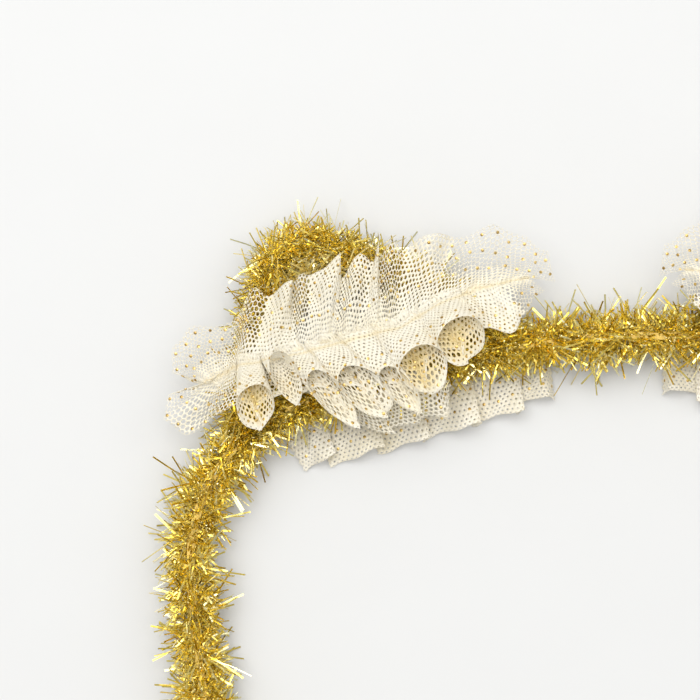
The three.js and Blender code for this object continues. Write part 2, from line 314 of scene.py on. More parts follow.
def new_tree(name: str, inputs: dict[str, str]) -> tuple[Graph, dict[str, bpy.types.NodeSocket]]:
    """Start a Geometry Nodes tree.

    Args:
        name: The tree's name.
        inputs: The socket type of each named input.

    Returns:
        The graph to build in, and the tree's input sockets by name.
    """
    tree = bpy.data.node_groups.new(name, "GeometryNodeTree")
    for label, kind in {"Geometry": "NodeSocketGeometry", **inputs}.items():
        tree.interface.new_socket(name=label, in_out="INPUT", socket_type=kind)
    tree.interface.new_socket(name="Geometry", in_out="OUTPUT", socket_type="NodeSocketGeometry")
    source = tree.nodes.new("NodeGroupInput")
    return Graph(tree), {socket.name: socket for socket in source.outputs if socket.name}


def grow(
    tree: bpy.types.NodeTree,
    base: bpy.types.Mesh,
    values: dict[str, Any],
    scratch: tuple[str, ...],
) -> bpy.types.Mesh:
    """Run a Geometry Nodes tree on a mesh.

    Args:
        tree: The tree.
        base: The mesh that the tree starts from.
        values: The tree's inputs by name.
        scratch: Attributes that only the tree needs.

    Returns:
        The result as a plain mesh, without the scratch attributes.
    """
    carrier = bpy.data.objects.new(base.name, base)
    bpy.context.scene.collection.objects.link(carrier)
    modifier = carrier.modifiers.new("grow", "NODES")
    modifier.node_group = tree
    for item in tree.interface.items_tree:
        if item.in_out == "INPUT" and item.name in values:
            modifier[item.identifier] = values[item.name]
    evaluated = carrier.evaluated_get(bpy.context.evaluated_depsgraph_get())
    mesh = bpy.data.meshes.new_from_object(evaluated)
    bpy.data.objects.remove(carrier)
    for name in scratch:
        if name in mesh.attributes:
            mesh.attributes.remove(mesh.attributes[name])
    return mesh


def add_piece(name: str, mesh: bpy.types.Mesh, slot: str, *nodes: str) -> bpy.types.Object:
    """Add a mesh to the scene as a finished piece that stands for CAD nodes.

    Args:
        name: The piece's name.
        mesh: The mesh, in metres in the headband's frame.
        slot: The record's material slot; not used.
        nodes: The CAD nodes that it replaces.

    Returns:
        The new object.
    """
    piece = bpy.data.objects.new(name, mesh)
    bpy.context.scene.collection.objects.link(piece)
    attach(piece, BODY)
    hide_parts(*nodes)
    log.info("%s: %d faces", name, len(mesh.polygons))
    return piece


def new_material(name: str) -> tuple[bpy.types.Material, Graph, bpy.types.Node]:
    """Start a material.

    Args:
        name: The material's name.

    Returns:
        The material, the graph of its nodes, and its Principled shader.
    """
    material = bpy.data.materials.new(name)
    material.use_nodes = True
    return material, Graph(material.node_tree), material.node_tree.nodes["Principled BSDF"]


def foil_group() -> bpy.types.NodeTree:
    """The uneven gloss that every metal foil here has.

    Returns:
        A shader node group with the inputs Scale, Low and High, and the outputs Roughness and Height.
    """
    name = "uneven foil"
    detail = 3.0
    smoothest_at = 0.3
    dullest_at = 0.7
    if name in bpy.data.node_groups:
        return bpy.data.node_groups[name]
    tree = bpy.data.node_groups.new(name, "ShaderNodeTree")
    for label in ("Scale", "Low", "High"):
        tree.interface.new_socket(name=label, in_out="INPUT", socket_type="NodeSocketFloat")
    for label in ("Roughness", "Height"):
        tree.interface.new_socket(name=label, in_out="OUTPUT", socket_type="NodeSocketFloat")
    graph = Graph(tree)
    scale, low, high = tree.nodes.new("NodeGroupInput").outputs[:3]
    height = graph.noise(scale, detail)
    roughness = graph.add("ShaderNodeMapRange", height, smoothest_at, dullest_at, low, high)
    graph.add("NodeGroupOutput", roughness.outputs[0], height)
    return tree


@dataclass(frozen=True)
class GoldFilm:
    """Gold metallized film: each strand has its own tone between a deep and a pale gold, and painted shade
    darkens it in patches.
    """

    name: str = "gold film"
    deep: Colour = (0.88, 0.66, 0.10, 1)
    middle: Colour = (0.99, 0.83, 0.26, 1)
    pale: Colour = (1.0, 0.97, 0.66, 1)
    middle_tone: float = 0.55
    low_roughness: float = 0.12
    high_roughness: float = 0.32
    crinkle_scale: float = 900
    crinkle: float = 0.05
    # Painted shade: the gold is darkened in noise patches, standing in for the shade among the tufts of
    # strands.
    clump_scale: float = 210
    clump_detail: float = 1
    clump_edges: Pair = (0.38, 0.5)
    clump_shade: float = 0.84
    metallic: float = 1.0

    def material(self) -> bpy.types.Material:
        """Make the film.

        Returns:
            The material, which reads the strands' tone attribute.
        """
        material, graph, shader = new_material(self.name)
        tone = graph.add("ShaderNodeAttribute", attribute_name="tone").outputs["Fac"]
        gold = graph.ramp(tone, (0, self.deep), (self.middle_tone, self.middle), (1, self.pale))
        foil = graph.foil(self.crinkle_scale, self.low_roughness, self.high_roughness)
        bump = graph.add("ShaderNodeBump", self.crinkle, MM)
        graph.feed(bump.inputs["Height"], foil.outputs["Height"])
        # Painted shade: noise patches dim the gold down to the painted shade level.
        painted_shade_patches = graph.noise(self.clump_scale, self.clump_detail)
        painted_shade_factor = graph.add("ShaderNodeMapRange", painted_shade_patches, *self.clump_edges, self.clump_shade, 1.0)
        looks = {
            "Base Color": graph.times(gold, painted_shade_factor.outputs[0]),
            "Roughness": foil.outputs["Roughness"],
            "Normal": bump.outputs[0],
            "Metallic": self.metallic,
        }
        graph.fill(shader, looks)
        return material


@dataclass(frozen=True)
class NetThread:
    """Soft cream nylon thread with a slight sheen, painted gold where the net's gold attribute says so."""

    name: str = "cream net"
    bright: Colour = (0.82, 0.775, 0.655, 1)
    warm: Colour = (0.81, 0.745, 0.585, 1)
    golden: Colour = (0.72, 0.53, 0.17, 1)
    patch_scale: float = 160
    patch_detail: float = 2
    patch_edges: Pair = (0.35, 0.65)
    roughness: float = 0.55
    sheen: float = 0.2
    through: float = 0.2
    through_reach: float = 0.6
    through_spread: Triple = (1.0, 0.9, 0.7)

    def material(self) -> bpy.types.Material:
        """Make the thread.

        Returns:
            The material, slightly warmer in soft patches, with painted gold glow where the net's gold
            attribute says so.
        """
        material, graph, shader = new_material(self.name)
        patches = graph.noise(self.patch_scale, self.patch_detail)
        cream = graph.ramp(patches, *zip(self.patch_edges, (self.warm, self.bright)))
        # Painted light: the gold attribute tints the cream threads towards gold, standing in for the
        # tinsel's light through the net and for the shade at the seam.
        gold = graph.add("ShaderNodeAttribute", attribute_name="gold").outputs["Fac"]
        looks = {
            "Base Color": graph.mix(gold, cream, self.golden),
            "Roughness": self.roughness,
            "Sheen Weight": self.sheen,
            "Subsurface Weight": self.through,
            "Subsurface Radius": self.through_spread,
            "Subsurface Scale": self.through_reach * MM,
        }
        graph.fill(shader, looks)
        return material


@dataclass(frozen=True)
class FoilPaint:
    """Gold foil dots and lacquer: a metal finish that is duller than the film."""

    name: str
    dark: Colour
    light: Colour
    metallic: float
    grain_scale: float
    low_roughness: float
    high_roughness: float
    mottle_edges: Pair = (0.35, 0.65)

    def material(self) -> bpy.types.Material:
        """Make the paint.

        Returns:
            The material, mottled between its dark and light gold.
        """
        material, graph, shader = new_material(self.name)
        foil = graph.foil(self.grain_scale, self.low_roughness, self.high_roughness)
        mottle = graph.ramp(foil.outputs["Height"], *zip(self.mottle_edges, (self.dark, self.light)))
        looks = {
            "Base Color": mottle,
            "Roughness": foil.outputs["Roughness"],
            "Metallic": self.metallic,
        }
        graph.fill(shader, looks)
        return material


@dataclass(frozen=True)
class Paper:
    """The pale sheet that the headband lies on."""

    name: str = "pale paper"
    light: Colour = (0.694, 0.70, 0.706, 1)
    shade: Colour = (0.68, 0.685, 0.69, 1)
    fibre_scale: float = 60
    fibre_detail: float = 2
    roughness: float = 0.8

    def material(self) -> bpy.types.Material:
        """Make the paper.

        Returns:
            The material, with a faint mottle.
        """
        material, graph, shader = new_material(self.name)
        mottle = graph.noise(self.fibre_scale, self.fibre_detail)
        looks = {"Base Color": graph.mix(mottle, self.shade, self.light), "Roughness": self.roughness}
        graph.fill(shader, looks)
        return material


# Painted light: the strands inside the ear get a paler, duller and less metallic copy of the gold film, so
# that they look lit under the net instead of shaded.
PAINTED_LIGHT_LINING_FILM = GoldFilm(
    "lining film",
    deep=(0.95, 0.74, 0.20, 1),
    middle=(1.0, 0.87, 0.38, 1),
    pale=(1.0, 0.97, 0.72, 1),
    low_roughness=0.3,
    high_roughness=0.5,
    metallic=0.45,
)
# Painted light: a brighter, warmer copy of the cream thread for the back flounce, which lies in the band's
# shade, standing in for warm light bounced from the gold.
SHADED_NET = NetThread("shaded net", bright=(0.88, 0.83, 0.71, 1), warm=(0.87, 0.80, 0.63, 1))
GOLD_DOTS = FoilPaint(
    "gold dots",
    dark=(0.42, 0.26, 0.07, 1),
    light=(0.84, 0.63, 0.25, 1),
    metallic=0.8,
    grain_scale=900,
    low_roughness=0.25,
    high_roughness=0.5,
)
BAND_LACQUER = FoilPaint(
    "band lacquer",
    dark=(0.40, 0.27, 0.06, 1),
    light=(0.66, 0.47, 0.13, 1),
    metallic=0.8,
    grain_scale=300,
    low_roughness=0.3,
    high_roughness=0.5,
)


def path_mesh(name: str, points: np.ndarray) -> bpy.types.Mesh:
    """A mesh of one line.

    Args:
        name: The mesh's name.
        points: Points in millimetres, one row each.

    Returns:
        The line in metres, with its length so far as the attribute along.
    """
    mesh = bpy.data.meshes.new(name)
    mesh.from_pydata((points * MM).tolist(), [(i, i + 1) for i in range(len(points) - 1)], [])
    steps = np.linalg.norm(np.diff(points, axis=0), axis=1)
    along = np.concatenate([[0.0], np.cumsum(steps)]) * MM
    mesh.attributes.new("along", "FLOAT", "POINT").data.foreach_set("value", along)
    return mesh


@dataclass(frozen=True)
class Arc:
    """One arc of the band's middle line."""

    radius: float
    turn_deg: float


@dataclass
class BandPath:
    """The band's middle line: arcs that run from the crown down each side."""

    crown_y: float
    mid_z: float
    arcs: tuple[Arc, ...] = (Arc(178, 18), Arc(30, 72), Arc(200, 27.5))
    step: float = 1.5

    @property
    def half(self) -> float:
        """The length from the crown to a tip."""
        return sum(arc.radius * math.radians(arc.turn_deg) for arc in self.arcs)

    def at(self, distance: float) -> tuple[np.ndarray, np.ndarray]:
        """A place on the right half.

        Args:
            distance: Length from the crown.

        Returns:
            The point, and the direction away from the head.
        """
        turned = 0.0
        x = 0.0
        y = self.crown_y
        for arc in self.arcs:
            swept = min(distance / arc.radius, math.radians(arc.turn_deg))
            x += arc.radius * (math.sin(turned + swept) - math.sin(turned))
            y += arc.radius * (math.cos(turned + swept) - math.cos(turned))
            turned += swept
            distance -= swept * arc.radius
        return np.array([x, y, self.mid_z]), np.array([math.sin(turned), math.cos(turned), 0.0])

    def points(self, side: Side, start: float, end: float) -> np.ndarray:
        """Points along one half, in rows.

        Args:
            side: The half.
            start: The first distance from the crown.
            end: The last one.

        Returns:
            The points.
        """
        count = max(2, round((end - start) / self.step))
        rows = np.array([self.at(distance)[0] for distance in np.linspace(start, end, count)])
        rows[:, 0] *= side.value
        return rows


@dataclass
class EarFrame:
    """The flat frame of an ear: along runs from its outer to its inner foot, out runs towards its tip."""

    crown_y: float
    foot_x: float = -65.8
    foot_y: float = -10.5
    tilt_deg: float = 14

    def place(self, along: np.ndarray, out: np.ndarray, z: np.ndarray, side: Side) -> np.ndarray:
        """Points of the frame in the headband's own frame.

        Args:
            along: Distances from the outer foot.
            out: Distances from the base line.
            z: Heights.
            side: The ear that they belong to.

        Returns:
            The points, one row each.
        """
        tilt = math.radians(self.tilt_deg)
        x = self.foot_x + along * math.cos(tilt) - out * math.sin(tilt)
        y = self.crown_y + self.foot_y + along * math.sin(tilt) + out * math.cos(tilt)
        return np.stack([-side.value * x, y, np.broadcast_to(z, x.shape)], axis=-1)


@dataclass(frozen=True)
class Bend:
    """One quadratic bend of a stem in the ear's frame."""

    start: Pair
    pull: Pair
    end: Pair


EAR_BENDS = (
    Bend((-1.3, -4.3), (7, 13.4), (13, 23)),
    Bend((13, 23), (16.3, 29), (21.4, 25)),
    Bend((21.4, 25), (35.5, 17.4), (49.8, -2.2)),
)
LINING_BENDS = (
    Bend((6, 6), (9, 14.4), (14, 18.2)),
    Bend((14, 18.2), (19, 21.4), (25, 19.2)),
    Bend((25, 19.2), (36, 15.4), (42, 5)),
)


@dataclass
class EarStem:
    """A bent stem in an ear: the ear's outline, or the lining inside it."""

    frame: EarFrame
    bends: tuple[Bend, ...]
    height: float = 6.8
    samples: int = 24

    def points(self, side: Side) -> np.ndarray:
        """Points along the stem.

        Args:
            side: The ear.

        Returns:
            The points, one row each.
        """
        share = np.linspace(0, 1, self.samples)[:, None]
        rows: list[np.ndarray] = []
        for bend in self.bends:
            start, pull, end = (np.array(place) for place in (bend.start, bend.pull, bend.end))
            line = (1 - share) ** 2 * start + 2 * share * (1 - share) * pull + share**2 * end
            rows.append(line[1:] if rows else line)
        along, out = np.concatenate(rows).T
        return self.frame.place(along, out, np.full(len(along), self.height), side)


@dataclass(frozen=True)
class Fold:
    """One fold of a flounce: its crest and the valley after it on the free edge.

    Root is where the valley is sewn along the gathered line, and dense is how far the net lies doubled. A
    fold with a sag is a roll: its round mouth reaches from the crest down to the sag, slip is how far the
    bottom of the mouth hangs to one side, and gold is how much painted gold glow the threads get there,
    standing in for the light of the tinsel behind.
    """

    crest: Triple
    valley: Triple
    root: float
    dense: float
    sag: float | None = None
    slip: float = 0.0
    gold: float = 0.0


@dataclass(frozen=True)
class BackFold:
    """One fold of the back flounce, by distance from the crown and reach from the band's middle line."""

    crest_at: float
    valley_at: float
    reach: float
    crest_z: float


@dataclass
class Tinsel:
    """Strands of film held in a twisted core: their sizes and how they spread.

    Strands that meet the net over them end at a share of the way to it, and each is rolled about its own
    line by up to so many radians.
    """

    LENGTHS = (
        "core_radius",
        "core_rise",
        "shortest",
        "longest",
        "film_width",
        "film_thick",
        "pitch",
        "stub",
        "floor_gap",
    )
    SHARES = ("lean", "swirl", "bow", "tuft", "thinning")
    STRAND_POINTS = 3
    FILM_SIDES = 3
    STOP_SHARE = 0.93
    ROLL_SPREAD = 40.0

    strands: int
    core_radius: float
    shortest: float
    longest: float
    film_width: float
    film_thick: float = 0.1
    lean: float = 1.3
    swirl: float = 1.0
    bow: float = 0.3
    pitch: float = 8.8
    tuft: float = 0.65
    core_rise: float = 0.0
    thinning: float = 2.0
    stub: float = 1.5
    floor_share: float = 0.6

    @property
    def floor_gap(self) -> float:
        """How far a strand's line stays above the surface, for the film's own width."""
        return self.floor_share * self.film_width

    @classmethod
    def tree(cls) -> bpy.types.NodeTree:
        """Build the tree that sets strands along a line.

        Returns:
            The Geometry Nodes tree.
        """
        graph, given = new_tree(
            "tinsel strands",
            {
                "Strands": "NodeSocketInt",
                "Seed": "NodeSocketInt",
                **number_inputs(cls.LENGTHS + cls.SHARES),
                "Cover": "NodeSocketObject",
                "Finish": "NodeSocketMaterial",
            },
        )

        def seed(purpose: Draw) -> bpy.types.NodeSocket:
            """A seed of its own for each purpose."""
            return graph.math("ADD", given["Seed"], float(purpose))

        def either_way(label: str, purpose: Draw) -> bpy.types.NodeSocket:
            """A random number between minus and plus an input."""
            return graph.random(graph.math("MULTIPLY", given[label], -1.0), given[label], seed(purpose))

        # Directions: away from the core, leaning along it and round it.
        line = graph.add("GeometryNodeMeshToCurve", given["Geometry"]).outputs[0]
        spread = graph.add("GeometryNodeCurveToPoints", line, given["Strands"])
        tangent = spread.outputs["Tangent"]
        sideways = graph.vector("NORMALIZE", graph.vector("CROSS_PRODUCT", tangent, UPWARD))
        angle = graph.random(0.0, FULL_TURN, seed(Draw.ANGLE))
        radial = graph.vector(
            "ADD",
            graph.times(sideways, graph.math("COSINE", angle)),
            graph.times(UPWARD, graph.math("SINE", angle)),
        )
        around = graph.vector("CROSS_PRODUCT", tangent, radial)
        leaning = graph.times(tangent, either_way("Lean", Draw.LEAN))
        swirling = graph.times(around, either_way("Swirl", Draw.SWIRL))
        tilted = graph.vector("ADD", leaning, swirling)
        aim = graph.vector("NORMALIZE", graph.vector("ADD", radial, tilted))

        # Lengths: mostly short, longest along the crest of the winding.
        phase = graph.math("MULTIPLY", graph.stored("along", "FLOAT"), FULL_TURN)
        turned = graph.math("SUBTRACT", angle, graph.math("DIVIDE", phase, given["Pitch"]))
        crest = graph.math("MULTIPLY_ADD", graph.math("COSINE", turned), 0.5, 0.5)
        shorter = graph.math("MULTIPLY", given["Tuft"], graph.math("SUBTRACT", 1.0, crest))
        chance = graph.random(0.0, 1.0, seed(Draw.LENGTH))
        share = graph.math("MULTIPLY", chance, graph.math("SUBTRACT", 1.0, shorter))
        thinned = graph.math("POWER", share, given["Thinning"])
        extra = graph.math("SUBTRACT", given["Longest"], given["Shortest"])
        length = graph.math("MULTIPLY_ADD", extra, thinned, given["Shortest"])

        # Roots: inside the core, and strands that point down splay out on the surface.
        depth = graph.math("MULTIPLY", given["Core Radius"], graph.random(0.0, 1.0, seed(Draw.DEPTH)))
        rise = graph.math("MULTIPLY", given["Core Rise"], graph.random(0.0, 1.0, seed(Draw.RISE)))
        here = graph.add("GeometryNodeInputPosition").outputs[0]
        higher = graph.vector("ADD", here, graph.times(UPWARD, rise))
        root = graph.vector("ADD", higher, graph.times(radial, depth))
        root_z = graph.add("ShaderNodeSeparateXYZ", root).outputs["Z"]
        drop = graph.math("DIVIDE", graph.math("SUBTRACT", given["Floor Gap"], root_z), length)
        parts = graph.add("ShaderNodeSeparateXYZ", aim).outputs
        level = graph.math("MAXIMUM", parts["Z"], drop)
        splayed = graph.add("ShaderNodeCombineXYZ", parts["X"], parts["Y"], level).outputs[0]
        aimed = graph.vector("NORMALIZE", splayed)

        # Strands stop under the net that covers them.
        cover = graph.add("GeometryNodeObjectInfo", given["Cover"], transform_space="RELATIVE")
        ray = graph.add("GeometryNodeRaycast", cover.outputs["Geometry"])
        graph.fill(ray, {"Source Position": root, "Ray Direction": aimed, "Ray Length": length})
        stopped = graph.math("MULTIPLY", ray.outputs["Hit Distance"], cls.STOP_SHARE)
        missing = graph.math("SUBTRACT", stopped, length)
        reach = graph.math("MULTIPLY_ADD", missing, ray.outputs["Is Hit"], length)

        # Each strand keeps its own values while its root moves and its line is bowed.
        points = spread.outputs["Points"]
        points = graph.store(points, "aim", aimed, "FLOAT_VECTOR")
        points = graph.store(points, "reach", reach, "FLOAT")
        points = graph.store(points, "sway", graph.random_vector(1.0, seed(Draw.SWAY)), "FLOAT_VECTOR")
        points = graph.store(points, "tone", graph.random(0.0, 1.0, seed(Draw.TONE)), "FLOAT")
        points = graph.move(points, root)
        short = graph.math("LESS_THAN", graph.stored("reach", "FLOAT"), given["Stub"])
        points = graph.add("GeometryNodeDeleteGeometry", points, short).outputs[0]
        strand = graph.add("GeometryNodeCurvePrimitiveLine", (0.0, 0.0, 0.0), UPWARD).outputs[0]
        strand = graph.add("GeometryNodeResampleCurve", strand, None, cls.STRAND_POINTS).outputs[0]
        curves = graph.copies(points, strand, "aim", graph.stored("reach", "FLOAT"))
        factor = graph.add("GeometryNodeSplineParameter").outputs["Factor"]
        bowed = graph.math("MULTIPLY", graph.math("POWER", factor, 2.0), given["Bow"])
        bowed = graph.math("MULTIPLY", bowed, graph.stored("reach", "FLOAT"))
        curves = graph.move(curves, None, graph.times(graph.stored("sway", "FLOAT_VECTOR"), bowed))
        here = graph.add("GeometryNodeInputPosition").outputs[0]
        place = graph.add("ShaderNodeSeparateXYZ", here).outputs
        raised = graph.math("MAXIMUM", place["Z"], given["Floor Gap"])
        lifted = graph.add("ShaderNodeCombineXYZ", place["X"], place["Y"], raised).outputs[0]
        curves = graph.move(curves, lifted)
        roll = graph.math("MULTIPLY", graph.stored("tone", "FLOAT"), cls.ROLL_SPREAD)
        curves = graph.add("GeometryNodeSetCurveTilt", curves, None, roll).outputs[0]

        # The film's flat section is swept along each line and closed at its ends.
        ring = graph.add("GeometryNodeCurvePrimitiveCircle", cls.FILM_SIDES, mode="RADIUS")
        graph.fill(ring, {"Radius": 0.5})
        flat = graph.add("ShaderNodeCombineXYZ", given["Film Width"], given["Film Thick"], 1.0).outputs[0]
        section = graph.add("GeometryNodeTransform", ring.outputs[0])
        graph.fill(section, {"Scale": flat})
        film = graph.add("GeometryNodeCurveToMesh", curves, section.outputs[0])
        graph.fill(film, {"Fill Caps": True})
        sharp = graph.add("GeometryNodeSetShadeSmooth", film.outputs[0])
        graph.fill(sharp, {"Shade Smooth": False})
        solid = graph.add("GeometryNodeRealizeInstances", sharp.outputs[0]).outputs[0]
        graph.add("NodeGroupOutput", graph.paint(solid, given["Finish"]))
        return graph.tree

    def along(
        self,
        tree: bpy.types.NodeTree,
        points: np.ndarray,
        cover: bpy.types.Object,
        film: bpy.types.Material,
        seed: int,
    ) -> bpy.types.Mesh:
        """Set strands along a line.

        Args:
            tree: The strands' tree.
            points: The line's points in millimetres.
            cover: The net that lies over the line.
            film: The strands' finish.
            seed: The seed of this stretch.

        Returns:
            The strands as one mesh.
        """
        values = {
            "Strands": self.strands,
            "Seed": seed,
            **number_values(self, self.LENGTHS, self.SHARES),
            "Cover": cover,
            "Finish": film,
        }
        return grow(tree, path_mesh("strand_line", points), values, ("aim", "reach", "sway", "along"))


@dataclass
class Net:
    """Dotted net: the sizes of its cells, threads and dots, and the tree that knits them on a lattice.

    Waves crumple it, each by its turn in radians for a millimetre along the strip and for a row of cells.
    """

    LENGTHS = ("thread_depth", "dot_radius", "dot_height")
    SHARES = ("thread_share", "gathered_share")
    BEAD_SEGMENTS = 8
    BEAD_RINGS = 3
    JOINED_WITHIN = 1e-7

    pitch: float = 0.98
    row_share: float = 0.76
    thread_share: float = 0.15
    gathered_share: float = 0.74
    unevenness: float = 0.12
    thread_depth: float = 0.12
    dot_radius: float = 0.33
    dot_height: float = 0.14
    dot_columns: int = 3
    dot_rows: int = 4
    dots_from: float = 0.25
    hem_rows: int = 1
    waves: tuple[Pair, ...] = ((0.9, 0.7), (0.37, -0.43))
    crumple: float = 0.22
    drift: float = 0.02
    pleat: float = 0.3
    pleat_run: float = 4
    pleat_sway: float = 0.31
    fade: float = 2.0
    seam_fade: float = 2
    rim_fade: float = 5
    # Painted shade along the seam: the most gold tint that the threads get there.
    seam_gold: float = 0.4
    seam_width: float = 0.09
    overlap_rows: int = 2
    lowest: float = 0.3
    cover: float = 0.97

    @property
    def row_step(self) -> float:
        """The distance between rows of cells."""
        return self.pitch * self.row_share

    @classmethod
    def tree(cls) -> bpy.types.NodeTree:
        """Build the tree that turns a lattice of cell middles into threads and dots.

        Returns:
            The Geometry Nodes tree.
        """
        graph, given = new_tree(
            "dotted net",
            {
                **number_inputs(cls.LENGTHS + cls.SHARES),
                "Thread Finish": "NodeSocketMaterial",
                "Dot Finish": "NodeSocketMaterial",
            },
        )

        # Six-sided cells, each with its middle cut out. An edge of the outer rim has a single face.
        cells = graph.add("GeometryNodeDualMesh", given["Geometry"], True).outputs[0]
        faces = graph.add("GeometryNodeInputMeshEdgeNeighbors").outputs[0]
        cells = graph.store(cells, "rim", graph.math("LESS_THAN", faces, 1.5), "BOOLEAN")
        inset = graph.add("GeometryNodeExtrudeMesh", cells, mode="FACES")
        graph.fill(inset, {"Offset Scale": 0, "Individual": True})
        middle = inset.outputs["Top"]
        wider = graph.math("SUBTRACT", given["Gathered Share"], given["Thread Share"])
        closeness = graph.stored("closeness", "FLOAT")
        taken = graph.math("MULTIPLY_ADD", wider, closeness, given["Thread Share"])
        shrunk = graph.add("GeometryNodeScaleElements", inset.outputs["Mesh"], middle, domain="FACE")
        graph.fill(shrunk, {"Scale": graph.math("SUBTRACT", 1.0, taken)})
        rings = graph.store(shrunk.outputs[0], "inner", middle, "BOOLEAN")
        rings = graph.add("GeometryNodeDeleteGeometry", rings, middle, domain="FACE").outputs[0]

        # Threads are thickest on their middle line and close along the holes and the outer rim.
        closed = graph.math("MAXIMUM", graph.stored("inner", "BOOLEAN"), graph.stored("rim", "BOOLEAN"))
        half = graph.math("MULTIPLY", given["Thread Depth"], 0.5)
        rise = graph.math("MULTIPLY", half, graph.math("SUBTRACT", 1.0, closed))
        facing = graph.add("GeometryNodeInputNormal").outputs[0]
        upper = graph.move(rings, None, graph.times(facing, rise))
        lower = graph.move(rings, None, graph.times(facing, graph.math("MULTIPLY", rise, -1.0)))
        lower = graph.add("GeometryNodeFlipFaces", lower).outputs[0]
        threads = graph.add("GeometryNodeMergeByDistance", graph.join(lower, upper))
        graph.fill(threads, {"Distance": cls.JOINED_WITHIN})
        threads = graph.paint(threads.outputs[0], given["Thread Finish"])

        # Dots sit in the cells that the lattice marks.
        marked = graph.store(given["Geometry"], "facing", facing, "FLOAT_VECTOR")
        spots = graph.add("GeometryNodeMeshToPoints", marked, graph.stored("dot", "BOOLEAN")).outputs[0]
        bead = graph.add("GeometryNodeMeshUVSphere", cls.BEAD_SEGMENTS, cls.BEAD_RINGS, 1.0).outputs[0]
        radius = given["Dot Radius"]
        size = graph.add("ShaderNodeCombineXYZ", radius, radius, given["Dot Height"])
        dots = graph.copies(spots, bead, "facing", size.outputs[0])
        dots = graph.paint(dots, given["Dot Finish"])
        graph.add("NodeGroupOutput", graph.join(dots, threads))
        return graph.tree

    def knit(
        self,
        tree: bpy.types.NodeTree,
        lattice: bpy.types.Mesh,
        thread: bpy.types.Material,
        dot: bpy.types.Material,
    ) -> bpy.types.Mesh:
        """Turn a lattice into net.

        Args:
            tree: The net's tree.
            lattice: A mesh whose points are the middles of cells.
            thread: The finish of the threads.
            dot: The finish of the dots.

        Returns:
            Threads and dots as one mesh.
        """
        values = {
            **number_values(self, self.LENGTHS, self.SHARES),
            "Thread Finish": thread,
            "Dot Finish": dot,
        }
        return grow(tree, lattice, values, ("closeness", "dot", "rim", "inner", "facing"))


@dataclass(frozen=True)
class Cells:
    """Cells of net by column and row.

    Run is how far each lies along the flat strip, and share is its share of the way from the gather to the
    free edge.
    """

    column: np.ndarray
    row: np.ndarray
    run: np.ndarray
    share: np.ndarray


@dataclass(frozen=True)
class Lattice:
    """The middles of a flounce's cells in millimetres, the triangles between them, and the cells' values."""

    points: np.ndarray
    triangles: np.ndarray
    closeness: np.ndarray
    gold: np.ndarray
    dot: np.ndarray


def lattice_triangles(index: np.ndarray) -> np.ndarray:
    """Triangles of a lattice whose odd rows are shifted by half a cell.

    Args:
        index: The number of each point, by column and row.

    Returns:
        The numbers of each triangle's points, one row each.
    """
    triangles = []
    for row in range(index.shape[1] - 1):
        here, there = index[:, row], index[:, row + 1]
        if row % 2 == 0:
            pairs = [(here[:-1], here[1:], there[:-1]), (here[1:], there[1:], there[:-1])]
        else:
            pairs = [(here[:-1], there[1:], there[:-1]), (here[:-1], here[1:], there[1:])]
        triangles += [np.stack(pair, axis=-1) for pair in pairs]
    return np.concatenate(triangles)


